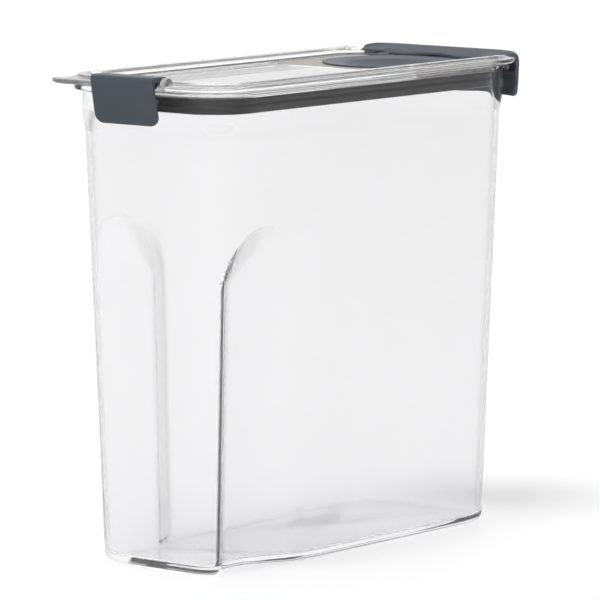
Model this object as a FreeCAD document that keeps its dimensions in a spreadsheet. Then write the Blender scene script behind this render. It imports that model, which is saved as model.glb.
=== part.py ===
import FreeCAD, Part
import Sketcher
import math
import os

from FreeCAD import Placement, Rotation, Vector

# A tall clear storage bin with a latched lid and a pour flap.
# Origin: centre of the flat underside. +X runs along the bin to the wide latch, +Z is up. Millimetres.

DIMENSIONS = [
    # bin
    ("base_length", 216.0), ("base_width", 84.0), ("base_radius", 21.0),
    ("mouth_length", 227.7), ("mouth_width", 95.7), ("mouth_radius", 19.2),
    ("bin_height", 228.4), ("wall", 2.4), ("floor_top", 3.6), ("base_round", 4.0), ("floor_round", 3.0),
    ("collar_bottom", 213.0), ("collar_length", 229.2), ("collar_width", 97.2), ("collar_radius", 20.0),
    ("flare_bottom", 215.5), ("flare_length", 224.6), ("flare_width", 92.6), ("flare_radius", 22.5),
    ("rim_bottom", 225.9), ("rim_length", 238.7), ("rim_width", 105.1), ("rim_radius", 26.0),
    ("gate_mark_radius", 4.5), ("gate_mark_depth", 0.3),
    # grip recesses: an arch at the recess floor and a wider arch outside the wall
    ("grip_floor_y", 28.5), ("grip_floor_x", 79.5), ("grip_floor_radius", 11.5),
    ("grip_outer_y", 47.5), ("grip_outer_x", 80.1), ("grip_outer_radius", 40.4),
    ("grip_arch_height", 132.2), ("grip_foot", 6.0),
    # lid
    ("seat_top", 229.4), ("flange_top", 231.8), ("crest_top", 233.2), ("panel_top", 228.5),
    ("panel_bottom", 226.2), ("flange_front", 127.0), ("flange_rear", 119.4), ("flange_width", 113.0),
    ("flange_front_radius", 20.0), ("flange_rear_radius", 28.0),
    ("crest_inset", 1.0), ("seat_inset", 0.5),
    ("seal_length", 223.9), ("seal_width", 91.9), ("seal_radius", 22.1),
    ("recess_inset", 1.3), ("recess_slope", 1.9),
    ("skirt_bottom", 217.8), ("skirt_wall", 2.0),
    ("gasket_bottom", 217.6), ("gasket_thickness", 2.0),
    ("step_x", 32.4), ("flap_pocket_x", 34.6), ("flap_floor_top", 224.4), ("flap_floor_bottom", 222.2),
    ("small_radius", 1.0), ("pour_x", 74.5), ("hole_radius", 27.35), ("hole_collar_wall", 1.95),
    ("hole_collar_bottom", 219.5),
    ("notch_half_width", 19.4), ("notch_x", 118.6), ("gate_half_width", 49.5), ("gate_x", 98.0),
    ("gate_floor", 230.6),
    # front latch
    ("front_pivot_x", 122.0), ("front_pivot_z", 232.4), ("front_barrel_radius", 3.1),
    ("front_latch_half_width", 19.0), ("front_latch_round", 5.0), ("front_lug_radius", 2.6),
    ("front_lug_width", 3.0), ("pin_radius", 1.0), ("running_bore_radius", 1.05),
    ("latch_bottom", 212.5), ("front_latch_top", 235.5),
    # pour flap
    ("flap_gap", 0.4), ("flap_bottom", 226.3), ("flap_pivot_x", 37.3), ("flap_pivot_z", 226.6),
    ("flap_barrel_radius", 1.9), ("flap_barrel_half", 41.0), ("flap_lug_half", 43.8), ("lug_gap", 0.35),
    ("flap_edge_x", 35.4), ("flap_hole_radius", 26.35),
    # pour cap
    ("cap_radius", 34.5), ("cap_plug_radius", 26.3), ("cap_top", 229.4), ("cap_bottom", 221.2),
    ("cap_dish_radius", 33.1), ("cap_bowl_radius", 30.6), ("cap_dish_depth", 4.6), ("cap_lip", 0.3),
    ("cap_groove_radius", 25.0), ("cap_groove_bottom", 222.2), ("cap_groove_top", 224.0),
    ("pour_gasket_radius", 26.95),
    # pour latch
    ("pour_pivot_x", 103.5), ("pour_pivot_z", 227.6), ("pour_barrel_radius", 1.9),
    ("pour_latch_half_width", 49.0), ("pour_latch_bottom", 211.5), ("pour_skirt_gap", 0.8),
    ("pour_skirt_wall", 2.0), ("pour_latch_round", 4.0), ("pour_latch_top", 234.0),
    ("pour_bead_gap", 0.45), ("pour_bead_bottom", 222.4), ("pour_bead_top", 224.6),
    ("knuckle_inner", 25.8), ("knuckle_outer", 32.2), ("lug_inner", 22.0), ("lug_outer", 36.0),
    ("knuckle_notch_x", 99.5), ("pour_pad_x", 107.0), ("pour_pad_arc", 35.7),
    ("pour_pad_middle", 32.2), ("latch_block_bottom", 190.0), ("latch_block_height", 70.0),
    # one millimetre, for profiles that are laid out in whole and part units
    ("profile_unit", 1.0),
]

VALUES = dict(DIMENSIONS)
REACH = 300.0              # depth of a cut that goes right through
OVERRUN = 1.1              # share by which a cutting outline runs past the part
FLOOR_BEVEL = 0.7          # share of the floor's rounding that its bevel takes in plan
ROUND_CHORDS = ((0.0, 1.0), (0.13, 0.5), (0.5, 0.13), (1.0, 0.0))   # a quarter round as three chords

doc = FreeCAD.newDocument("pet_food_bin")


def make_sheet():
    """Write the driving dimensions to the sheet that every sub-part reads."""
    sheet = doc.addObject("Spreadsheet::Sheet", "Sizes")
    for row, (alias, value) in enumerate(DIMENSIONS, start=1):
        sheet.set(f"A{row}", alias)
        sheet.set(f"B{row}", str(value))
        sheet.setAlias(f"B{row}", alias)
    doc.recompute()


class Length:
    """A sum of sheet dimensions, readable as a number or as a bound expression."""

    def __init__(self, terms):
        self.terms = terms

    def __add__(self, other):
        terms = dict(self.terms)
        for alias, factor in other.terms.items():
            terms[alias] = terms.get(alias, 0.0) + factor
        return Length(terms)

    def __mul__(self, factor):
        return Length({alias: factor * old for alias, old in self.terms.items()})

    def __neg__(self):
        return self * -1.0

    def __sub__(self, other):
        return self + -other

    def __truediv__(self, divisor):
        return self * (1.0 / divisor)

    @property
    def number(self):
        return sum(factor * VALUES[alias] for alias, factor in self.terms.items())

    @property
    def expression(self):
        return " + ".join(f"{factor} * Sizes.{alias}" for alias, factor in self.terms.items())


ZERO = Length({})


def size(alias):
    """One dimension of the sheet."""
    return Length({alias: 1.0})


def bind(feature, path, length):
    """Drive one property of a feature from the sheet."""
    feature.setExpression(path, length.expression)


# ---------------------------------------------------------------- sketches

def new_sketch(body, name, plane_role, height=None, tilt=0.0):
    """Attach a sketch to one of the body's own origin planes, raised along the plane's normal."""
    sketch = body.newObject("Sketcher::SketchObject", name)
    plane = next(item for item in body.Origin.OriginFeatures if item.Role == plane_role)
    sketch.AttachmentSupport = [(plane, "")]
    sketch.MapMode = "FlatFace"
    if height is not None:
        base = Vector(0.0, 0.0, height.number)
        sketch.AttachmentOffset = Placement(base, Rotation(Vector(1.0, 0.0, 0.0), tilt))
        bind(sketch, "AttachmentOffset.Base.z", height)
    return sketch


def hold(sketch, axis, geometry, point, length):
    """Hold one coordinate of a sketch point; zero lies on the sketch axis."""
    if abs(length.number) < 1e-9:
        sketch.addConstraint(Sketcher.Constraint("PointOnObject", geometry, point, -1 if axis == "Y" else -2))
        return
    if length.number > 0.0:
        constraint = Sketcher.Constraint("Distance" + axis, -1, 1, geometry, point, length.number)
    else:
        length = -length
        constraint = Sketcher.Constraint("Distance" + axis, geometry, point, -1, 1, length.number)
    index = sketch.addConstraint(constraint)
    bind(sketch, f"Constraints[{index}]", length)


def hold_radius(sketch, geometry, length):
    """Hold an arc's or a circle's radius."""
    index = sketch.addConstraint(Sketcher.Constraint("Radius", geometry, length.number))
    bind(sketch, f"Constraints[{index}]", length)


def add_line(sketch, start, end):
    """Add one straight edge between two plain points."""
    return sketch.addGeometry(Part.LineSegment(Vector(*start, 0.0), Vector(*end, 0.0)))


def add_arc(sketch, centre, radius, start_degrees, end_degrees):
    """Add one circular arc, drawn anticlockwise."""
    circle = Part.Circle(Vector(*centre, 0.0), Vector(0.0, 0.0, 1.0), radius)
    arc = Part.ArcOfCircle(circle, math.radians(start_degrees), math.radians(end_degrees))
    return sketch.addGeometry(arc)


def add_circle(sketch, centre_x, centre_y, radius):
    """Add one circle held at its centre and radius."""
    centre = Vector(centre_x.number, centre_y.number, 0.0)
    circle = sketch.addGeometry(Part.Circle(centre, Vector(0.0, 0.0, 1.0), radius.number))
    hold(sketch, "X", circle, 3, centre_x)
    hold(sketch, "Y", circle, 3, centre_y)
    hold_radius(sketch, circle, radius)


def add_polygon(sketch, corners):
    """Add a closed outline of straight edges, each corner held by two dimensions."""
    plain = [(x.number, y.number) for x, y in corners]
    count = len(corners)
    lines = [add_line(sketch, plain[i], plain[(i + 1) % count]) for i in range(count)]
    for i, line in enumerate(lines):
        sketch.addConstraint(Sketcher.Constraint("Coincident", line, 2, lines[(i + 1) % count], 1))
        hold(sketch, "X", line, 1, corners[i][0])
        hold(sketch, "Y", line, 1, corners[i][1])


def add_rounded_rectangle(sketch, left, right, half_width, left_radius, right_radius):
    """Add a rounded rectangle that is symmetric about the sketch's X axis."""
    xl, xr, w = left.number, right.number, half_width.number
    rl, rr = left_radius.number, right_radius.number
    bottom = add_line(sketch, (xl + rl, -w), (xr - rr, -w))
    corner_1 = add_arc(sketch, (xr - rr, -w + rr), rr, -90, 0)
    side_1 = add_line(sketch, (xr, -w + rr), (xr, w - rr))
    corner_2 = add_arc(sketch, (xr - rr, w - rr), rr, 0, 90)
    top = add_line(sketch, (xr - rr, w), (xl + rl, w))
    corner_3 = add_arc(sketch, (xl + rl, w - rl), rl, 90, 180)
    side_2 = add_line(sketch, (xl, w - rl), (xl, -w + rl))
    corner_4 = add_arc(sketch, (xl + rl, -w + rl), rl, 180, 270)
    loop = [bottom, corner_1, side_1, corner_2, top, corner_3, side_2, corner_4]
    for i, edge in enumerate(loop):
        sketch.addConstraint(Sketcher.Constraint("Tangent", edge, 2, loop[(i + 1) % len(loop)], 1))
    for line in (bottom, top):
        sketch.addConstraint(Sketcher.Constraint("Horizontal", line))
    for line in (side_1, side_2):
        sketch.addConstraint(Sketcher.Constraint("Vertical", line))
    for arc, radius in ((corner_1, right_radius), (corner_2, right_radius),
                        (corner_3, left_radius), (corner_4, left_radius)):
        hold_radius(sketch, arc, radius)
    hold(sketch, "Y", bottom, 1, -half_width)
    hold(sketch, "Y", top, 1, half_width)
    hold(sketch, "X", side_1, 1, right)
    hold(sketch, "X", side_2, 1, left)


def add_outline(sketch, family, inset):
    """Add the rounded rectangle of a named family of sizes, inset all round."""
    half_length = size(family + "_length") / 2 - inset
    half_width = size(family + "_width") / 2 - inset
    radius = size(family + "_radius") - inset
    add_rounded_rectangle(sketch, -half_length, half_length, half_width, radius, radius)


def add_arch(sketch, centre_x, radius, arch_height, foot):
    """Add an upright arch: a flat foot, two straight sides and a half-round top."""
    x, r, z, f = centre_x.number, radius.number, arch_height.number, foot.number
    sill = add_line(sketch, (x - r, f), (x + r, f))
    side_1 = add_line(sketch, (x + r, f), (x + r, z))
    top = add_arc(sketch, (x, z), r, 0, 180)
    side_2 = add_line(sketch, (x - r, z), (x - r, f))
    sketch.addConstraint(Sketcher.Constraint("Coincident", sill, 2, side_1, 1))
    sketch.addConstraint(Sketcher.Constraint("Tangent", side_1, 2, top, 1))
    sketch.addConstraint(Sketcher.Constraint("Tangent", top, 2, side_2, 1))
    sketch.addConstraint(Sketcher.Constraint("Coincident", side_2, 2, sill, 1))
    sketch.addConstraint(Sketcher.Constraint("Horizontal", sill))
    sketch.addConstraint(Sketcher.Constraint("Vertical", side_1))
    sketch.addConstraint(Sketcher.Constraint("Vertical", side_2))
    hold_radius(sketch, top, radius)
    hold(sketch, "X", top, 3, centre_x)
    hold(sketch, "Y", top, 3, arch_height)
    hold(sketch, "Y", sill, 1, foot)


# ---------------------------------------------------------------- features

def new_body(name):
    """Make a body whose label is the sub-part's name."""
    body = doc.addObject("PartDesign::Body", name)
    body.Label = name
    return body


def pad(body, sketch, length, symmetric=False):
    """Raise a sketch along its normal, or equally to both sides."""
    feature = body.newObject("PartDesign::Pad", sketch.Name + "_pad")
    feature.Profile = sketch
    feature.Length = length.number
    bind(feature, "Length", length)
    if symmetric:
        feature.SideType = "Symmetric"
    sketch.Visibility = False
    doc.recompute()
    return feature


def pocket(body, sketch, length=None, symmetric=False, reverse=False):
    """Cut a sketch against its normal, to a depth or right through, and check that it cut."""
    before = body.Shape.Volume
    feature = body.newObject("PartDesign::Pocket", sketch.Name + "_cut")
    feature.Profile = sketch
    feature.Reversed = reverse
    if length is None:
        feature.Length = REACH
    else:
        feature.Length = length.number
        bind(feature, "Length", length)
    if symmetric:
        feature.SideType = "Symmetric"
    doc.recompute()
    if body.Shape.Volume >= before - 1e-3:
        raise RuntimeError(feature.Name + " cut nothing")
    return feature


def loft(body, kind, first, second):
    """Join two sketches with straight-ruled sides."""
    feature = body.newObject("PartDesign::" + kind, second.Name + "_loft")
    feature.Profile = first
    feature.Sections = [second]
    feature.Ruled = True
    doc.recompute()
    return feature


def mirror(body, *features):
    """Repeat features on the other side of the body's upright middle plane."""
    mirrored = body.newObject("PartDesign::Mirrored", features[0].Name + "_mirrored")
    mirrored.Originals = list(features)
    plane = next(item for item in body.Origin.OriginFeatures if item.Role == "XZ_Plane")
    mirrored.MirrorPlane = (plane, [""])
    body.Tip = mirrored
    doc.recompute()


def round_edges(body, name, edges, radius):
    """Fillet the body's edges that pass a test."""
    tip = body.Tip
    names = [f"Edge{i + 1}" for i, edge in enumerate(tip.Shape.Edges) if edges(edge)]
    fillet = body.newObject("PartDesign::Fillet", name)
    fillet.Base = (tip, names)
    fillet.Radius = radius.number
    bind(fillet, "Radius", radius)
    doc.recompute()


def lies_at_height(height):
    """Return a test for edges that lie wholly at one height."""
    def test(edge):
        box = edge.BoundBox
        return abs(box.ZMin - height) < 1e-4 and abs(box.ZMax - height) < 1e-4
    return test


def combine(kind, name, base, tool):
    """Cut, join or intersect two shapes under the sub-part's name."""
    result = doc.addObject("Part::" + kind, name)
    if kind == "Cut":
        result.Base = base
        result.Tool = tool
    else:
        result.Shapes = [base, tool]
    result.Label = name
    doc.recompute()
    return result


def pin(name, x, z, half_length, centre_y=None):
    """A plain round pin lying along Y."""
    feature = doc.addObject("Part::Cylinder", name)
    feature.Label = name
    bind(feature, "Radius", size("pin_radius"))
    bind(feature, "Height", half_length * 2)
    start = -half_length if centre_y is None else centre_y - half_length
    feature.Placement = Placement(Vector(x.number, start.number, z.number), Rotation(Vector(1, 0, 0), -90))
    for axis, length in (("x", x), ("y", start), ("z", z)):
        bind(feature, f"Placement.Base.{axis}", length)
    return feature


# ---------------------------------------------------------------- bin

def cut_grips(body, growth):
    """Cut the two grip recesses, or their enlarged copy for the inside of the wall."""
    lean = math.degrees(math.atan2((VALUES["mouth_width"] - VALUES["base_width"]) / 2, VALUES["bin_height"]))
    sketches = []
    for place, offset in (("floor", -growth), ("outer", ZERO)):
        depth = size(f"grip_{place}_y") + offset
        sketch = new_sketch(body, f"{body.Name}_grip_{place}", "XZ_Plane", depth, lean)
        add_arch(sketch, -size(f"grip_{place}_x"), size(f"grip_{place}_radius") + growth,
                 size("grip_arch_height"), -size("grip_foot"))
        sketches.append(sketch)
    grip = loft(body, "SubtractiveLoft", sketches[0], sketches[1])
    mirror(body, grip)


def make_bin_body():
    """The clear container: drafted wall, collar, rim and two grip recesses."""
    outside = new_body("bin_outside")
    base = new_sketch(outside, "bin_base", "XY_Plane")
    add_outline(base, "base", ZERO)
    mouth = new_sketch(outside, "bin_mouth", "XY_Plane", size("bin_height"))
    add_outline(mouth, "mouth", ZERO)
    loft(outside, "AdditiveLoft", base, mouth)
    cut_grips(outside, ZERO)
    round_edges(outside, "base_edge", lies_at_height(0.0), size("base_round"))
    for family in ("collar", "rim"):
        ring = new_sketch(outside, f"bin_{family}", "XY_Plane", size(f"{family}_bottom"))
        add_outline(ring, family, ZERO)
        pad(outside, ring, size("bin_height") - size(f"{family}_bottom"))

    inside = new_body("bin_inside")
    floor = new_sketch(inside, "cavity_floor", "XY_Plane", size("floor_top"))
    add_outline(floor, "base", size("wall") + size("floor_round") * FLOOR_BEVEL)
    foot = new_sketch(inside, "cavity_foot", "XY_Plane", size("floor_top") + size("floor_round"))
    add_outline(foot, "base", size("wall"))
    top = new_sketch(inside, "cavity_mouth", "XY_Plane", size("bin_height"))
    add_outline(top, "mouth", size("wall"))
    loft(inside, "AdditiveLoft", floor, foot)
    loft(inside, "AdditiveLoft", foot, top)
    cut_grips(inside, size("wall"))
    flare = new_sketch(inside, "mouth_flare", "XY_Plane", size("flare_bottom"))
    add_outline(flare, "flare", ZERO)
    pad(inside, flare, size("bin_height") - size("flare_bottom"))
    mark = new_sketch(inside, "gate_mark", "XY_Plane", size("floor_top") - size("gate_mark_depth"))
    add_circle(mark, ZERO, ZERO, size("gate_mark_radius"))
    pad(inside, mark, size("gate_mark_depth") * 2)
    return combine("Cut", "bin_body", outside, inside)


# ---------------------------------------------------------------- lid

def make_lid():
    """The clear lid: flange, raised crest, sealing plug, recess, skirt, flap pocket and hinges."""
    lid = new_body("lid")
    seat = new_sketch(lid, "lid_seat", "XY_Plane", size("bin_height"))
    add_outline(seat, "rim", size("seat_inset"))
    pad(lid, seat, size("seat_top") - size("bin_height"))
    flange = new_sketch(lid, "lid_flange", "XY_Plane", size("seat_top"))
    add_rounded_rectangle(flange, -size("flange_front"), size("flange_rear"), size("flange_width") / 2,
                          size("flange_front_radius"), size("flange_rear_radius"))
    pad(lid, flange, size("flange_top") - size("seat_top"))
    crest = new_sketch(lid, "lid_crest", "XY_Plane", size("flange_top"))
    add_outline(crest, "rim", size("crest_inset"))
    pad(lid, crest, size("crest_top") - size("flange_top"))
    plug = new_sketch(lid, "lid_plug", "XY_Plane", size("panel_bottom"))
    add_outline(plug, "seal", ZERO)
    pad(lid, plug, size("bin_height") - size("panel_bottom"))
    panel = new_sketch(lid, "lid_panel", "XY_Plane", size("panel_top"))
    add_outline(panel, "seal", size("recess_inset"))
    panel_rim = new_sketch(lid, "lid_panel_rim", "XY_Plane", size("crest_top"))
    add_outline(panel_rim, "seal", size("recess_inset") - size("recess_slope"))
    loft(lid, "SubtractiveLoft", panel, panel_rim)

    skirt = new_sketch(lid, "lid_skirt", "XY_Plane", size("skirt_bottom"))
    add_outline(skirt, "seal", size("gasket_thickness"))
    add_outline(skirt, "seal", size("gasket_thickness") + size("skirt_wall"))
    pad(lid, skirt, size("panel_bottom") - size("skirt_bottom"))

    inner = size("gasket_thickness") + size("skirt_wall") / 2
    well = new_sketch(lid, "lid_flap_floor", "XY_Plane", size("flap_floor_bottom"))
    add_rounded_rectangle(well, size("step_x"), size("seal_length") / 2 - inner,
                          size("seal_width") / 2 - inner, size("small_radius"), size("seal_radius") - inner)
    pad(lid, well, size("panel_bottom") - size("flap_floor_bottom"))
    flap_pocket = new_sketch(lid, "lid_flap_pocket", "XY_Plane", size("panel_top"))
    add_rounded_rectangle(flap_pocket, size("flap_pocket_x"), size("seal_length") / 2 - size("recess_inset"),
                          size("seal_width") / 2 - size("recess_inset"), size("small_radius"),
                          size("seal_radius") - size("recess_inset"))
    pocket(lid, flap_pocket, size("panel_top") - size("flap_floor_top"))

    hole_rim = new_sketch(lid, "lid_hole_rim", "XY_Plane", size("hole_collar_bottom"))
    add_circle(hole_rim, size("pour_x"), ZERO, size("hole_radius") + size("hole_collar_wall"))
    pad(lid, hole_rim, size("flap_floor_bottom") - size("hole_collar_bottom"))
    hole = new_sketch(lid, "lid_pour_hole", "XY_Plane", size("flap_floor_top"))
    add_circle(hole, size("pour_x"), ZERO, size("hole_radius"))
    pocket(lid, hole)

    notch = new_sketch(lid, "lid_latch_notch", "XY_Plane", size("crest_top"))
    half = size("notch_half_width")
    far = size("flange_front") * OVERRUN
    add_polygon(notch, [(-far, -half), (-size("notch_x"), -half), (-size("notch_x"), half), (-far, half)])
    pocket(lid, notch, size("crest_top") - size("bin_height"))
    gate = new_sketch(lid, "lid_rear_gate", "XY_Plane", size("crest_top"))
    half = size("gate_half_width")
    far = size("flange_rear") * OVERRUN
    add_polygon(gate, [(size("gate_x"), -half), (far, -half), (far, half), (size("gate_x"), half)])
    pocket(lid, gate, size("crest_top") - size("gate_floor"))

    add_lugs(lid, "front_lug", -size("front_pivot_x"), size("front_pivot_z"), size("front_lug_radius"),
             size("notch_half_width"), size("front_lug_width"))
    add_lugs(lid, "flap_lug", size("flap_pivot_x"), size("flap_pivot_z"), size("flap_barrel_radius"),
             size("flap_barrel_half") + size("lug_gap"),
             size("flap_lug_half") - size("flap_barrel_half") - size("lug_gap"), size("flap_floor_top"))
    bore(lid, "front_pin_bore", -size("front_pivot_x"), size("front_pivot_z"), size("pin_radius"),
         size("notch_half_width") + size("front_lug_width"))
    bore(lid, "flap_pin_bore", size("flap_pivot_x"), size("flap_pivot_z"), size("pin_radius"),
         size("flap_lug_half"))
    return lid


def add_lugs(body, name, x, z, radius, inner_y, width, foot=None):
    """Add a pair of hinge lugs, one each side, standing on a foot where one is given."""
    disc = new_sketch(body, name, "XZ_Plane", inner_y)
    add_circle(disc, x, z, radius)
    raised = pad(body, disc, width)
    mirror(body, raised)
    if foot is not None:
        post = new_sketch(body, name + "_post", "XZ_Plane", inner_y)
        add_polygon(post, [(x - radius, foot), (x + radius, foot), (x + radius, z), (x - radius, z)])
        raised = pad(body, post, width)
        mirror(body, raised)


def bore(body, name, x, z, radius, half_length):
    """Bore a hole along Y, symmetric about the middle plane."""
    circle = new_sketch(body, name, "XZ_Plane")
    add_circle(circle, x, z, radius)
    pocket(body, circle, half_length * 2, symmetric=True)


def make_lid_gasket():
    """The soft ring between the lid's skirt and the bin's flared mouth."""
    gasket = new_body("lid_gasket")
    ring = new_sketch(gasket, "gasket_ring", "XY_Plane", size("gasket_bottom"))
    add_outline(ring, "seal", ZERO)
    add_outline(ring, "seal", size("gasket_thickness"))
    pad(gasket, ring, size("panel_bottom") - size("gasket_bottom"))
    return gasket


# ---------------------------------------------------------------- front latch

def make_front_latch():
    """The narrow latch: top plate, leaning skirt, inner bead and hinge barrel."""
    x, z = size("front_pivot_x"), size("front_pivot_z")
    top, low, unit = size("front_latch_top"), size("latch_bottom"), size("profile_unit")
    side = new_body("front_latch_side")
    profile = new_sketch(side, "front_latch_profile", "XZ_Plane")
    add_polygon(profile, [
        (-x, top), (-x - unit * 5.4, top), (-x - unit * 7.4, top - unit * 1.0),
        (-x - unit * 8.0, top - unit * 3.2), (-x - unit * 4.6, low), (-x - unit * 2.4, low),
        (-x - unit * 3.7, low + unit * 9.4), (-x + unit * 2.3, low + unit * 10.4),
        (-x + unit * 2.3, low + unit * 12.0), (-x - unit * 4.4, low + unit * 13.2),
        (-x - unit * 5.7, top - unit * 3.0), (-x - unit * 4.9, top - unit * 2.2), (-x, top - unit * 2.2),
    ])
    pad(side, profile, size("front_latch_half_width") * 2, symmetric=True)
    barrel = new_sketch(side, "front_latch_barrel", "XZ_Plane")
    add_circle(barrel, -x, z, size("front_barrel_radius"))
    pad(side, barrel, size("front_latch_half_width") * 2, symmetric=True)
    bore(side, "front_latch_bore", -x, z, size("running_bore_radius"), size("front_latch_half_width"))

    face = new_body("front_latch_face")
    outline = new_sketch(face, "front_latch_outline", "YZ_Plane")
    half, cut = size("front_latch_half_width"), size("front_latch_round")
    add_polygon(outline, [
        (-half, top + unit), (-half, low + cut), (-half + unit * 0.6, low + cut * 0.45),
        (-half + unit * 2.2, low + cut * 0.12), (-half + unit * 4.4, low),
        (half - unit * 4.4, low), (half - unit * 2.2, low + cut * 0.12),
        (half - unit * 0.6, low + cut * 0.45), (half, low + cut), (half, top + unit),
    ])
    pad(face, outline, size("front_pivot_x") * 3, symmetric=True)
    return combine("MultiCommon", "front_latch", side, face)


# ---------------------------------------------------------------- pour flap and cap

def make_pour_flap():
    """The flap over the pour hole: plate, hinge barrel, cap hole and lugs for the pour latch."""
    flap = new_body("pour_flap")
    inset = size("recess_inset") + size("flap_gap")
    plate = new_sketch(flap, "flap_plate", "XY_Plane", size("flap_bottom"))
    add_rounded_rectangle(plate, size("flap_pivot_x"), size("seal_length") / 2 - inset,
                          size("seal_width") / 2 - inset, size("small_radius"), size("seal_radius") - inset)
    pad(flap, plate, size("panel_top") - size("flap_bottom"))
    barrel = new_sketch(flap, "flap_barrel", "XZ_Plane")
    add_circle(barrel, size("flap_pivot_x"), size("flap_pivot_z"), size("flap_barrel_radius"))
    pad(flap, barrel, size("flap_barrel_half") * 2, symmetric=True)
    corner = new_sketch(flap, "flap_lug_clearance", "XY_Plane", size("panel_top"))
    clear = size("flap_pivot_x") + size("flap_barrel_radius") + size("lug_gap")
    half, edge = size("flap_barrel_half"), size("seal_width") / 2
    add_polygon(corner, [(size("flap_edge_x") - size("flap_gap"), half), (clear, half), (clear, edge),
                         (size("flap_edge_x") - size("flap_gap"), edge)])
    cleared = pocket(flap, corner)
    mirror(flap, cleared)
    hole = new_sketch(flap, "flap_cap_hole", "XY_Plane", size("panel_top"))
    add_circle(hole, size("pour_x"), ZERO, size("flap_hole_radius"))
    pocket(flap, hole)
    bore(flap, "flap_bore", size("flap_pivot_x"), size("flap_pivot_z"), size("running_bore_radius"),
         size("flap_barrel_half"))
    for name, inner, width in (("lug_a", size("lug_inner"), size("knuckle_inner") - size("lug_inner")),
                               ("lug_b", size("knuckle_outer"), size("lug_outer") - size("knuckle_outer"))):
        add_lugs(flap, name, size("pour_pivot_x"), size("pour_pivot_z"), size("pour_barrel_radius"),
                 inner, width)
    slot = new_sketch(flap, "flap_knuckle_slot", "XY_Plane", size("cap_top"))
    inner, outer = size("knuckle_inner") - size("lug_gap"), size("knuckle_outer") + size("lug_gap")
    far = size("seal_length") / 2
    add_polygon(slot, [(size("knuckle_notch_x"), inner), (far, inner), (far, outer),
                       (size("knuckle_notch_x"), outer)])
    slotted = pocket(flap, slot)
    mirror(flap, slotted)
    bore(flap, "flap_latch_bore", size("pour_pivot_x"), size("pour_pivot_z"), size("pin_radius"),
         size("lug_outer"))
    return flap


def revolve(body, corners):
    """Turn a half-section about the body's own vertical axis and stand it over the pour hole."""
    section = new_sketch(body, body.Name + "_section", "XZ_Plane")
    add_polygon(section, corners)
    turned = body.newObject("PartDesign::Revolution", body.Name + "_turned")
    turned.Profile = section
    turned.ReferenceAxis = (section, ["V_Axis"])
    turned.Angle = 360.0
    body.Placement.Base.x = VALUES["pour_x"]
    bind(body, "Placement.Base.x", size("pour_x"))
    doc.recompute()


def make_pour_cap():
    """The dished cap: a flat brim on the flap, a plug below it and a groove for its gasket."""
    cap = new_body("pour_cap")
    top, depth, dish = size("cap_top"), size("cap_dish_depth"), size("cap_dish_radius")
    bowl, plug, groove = size("cap_bowl_radius"), size("cap_plug_radius"), size("cap_groove_radius")
    revolve(cap, [
        (ZERO, top - depth), (bowl * 0.25, top - depth * 0.98), (bowl * 0.45, top - depth * 0.87),
        (bowl * 0.6, top - depth * 0.67), (bowl * 0.7, top - depth * 0.48), (bowl * 0.8, top - depth * 0.22),
        (bowl * 0.86, top - depth * 0.1), (dish, top), (size("cap_radius") - size("cap_lip"), top),
        (size("cap_radius"), top - size("cap_lip")), (size("cap_radius"), size("panel_top")),
        (plug, size("panel_top")), (plug, size("cap_groove_top")), (groove, size("cap_groove_top")),
        (groove, size("cap_groove_bottom")), (plug, size("cap_groove_bottom")), (plug, size("cap_bottom")),
        (ZERO, size("cap_bottom")),
    ])
    return cap


def make_pour_gasket():
    """The seal ring in the cap's groove."""
    ring = new_body("pour_gasket")
    inner, outer = size("cap_groove_radius"), size("pour_gasket_radius")
    low, high = size("cap_groove_bottom"), size("cap_groove_top")
    round_off = size("cap_lip")
    revolve(ring, [
        (inner, low), (outer - round_off, low), (outer, low + round_off), (outer, high - round_off),
        (outer - round_off, high), (inner, high),
    ])
    return ring


# ---------------------------------------------------------------- pour latch

def latch_block(name, side_corners, gap, half_width, corner_cut):
    """Intersect a side profile, a plan outline that follows the lid's end, and an end outline."""
    side = new_body(name + "_side")
    profile = new_sketch(side, name + "_profile", "XZ_Plane")
    add_polygon(profile, side_corners)
    pad(side, profile, half_width * 2, symmetric=True)
    plan = new_body(name + "_plan")
    outline = new_sketch(plan, name + "_outline", "XY_Plane", size("latch_block_bottom"))
    add_rounded_rectangle(outline, -size("flange_front"), size("flange_rear") + gap,
                          size("flange_width") / 2 + gap, size("flange_front_radius"),
                          size("flange_rear_radius") + gap)
    pad(plan, outline, size("latch_block_height"))
    block = combine("MultiCommon", name + "_block", side, plan)
    end = new_body(name + "_end")
    face = new_sketch(end, name + "_end_outline", "YZ_Plane")
    top, low = size("pour_latch_top"), size("pour_latch_bottom")
    right = [(half_width - corner_cut * across, top - corner_cut * down) for across, down in ROUND_CHORDS]
    left = [(-y, z) for y, z in reversed(right)]
    foot = low - corner_cut
    add_polygon(face, [(-half_width, foot), (half_width, foot)] + right + left)
    pad(end, face, size("flange_front") * 3, symmetric=True)
    return combine("MultiCommon", name + "_shape", block, end)


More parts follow.
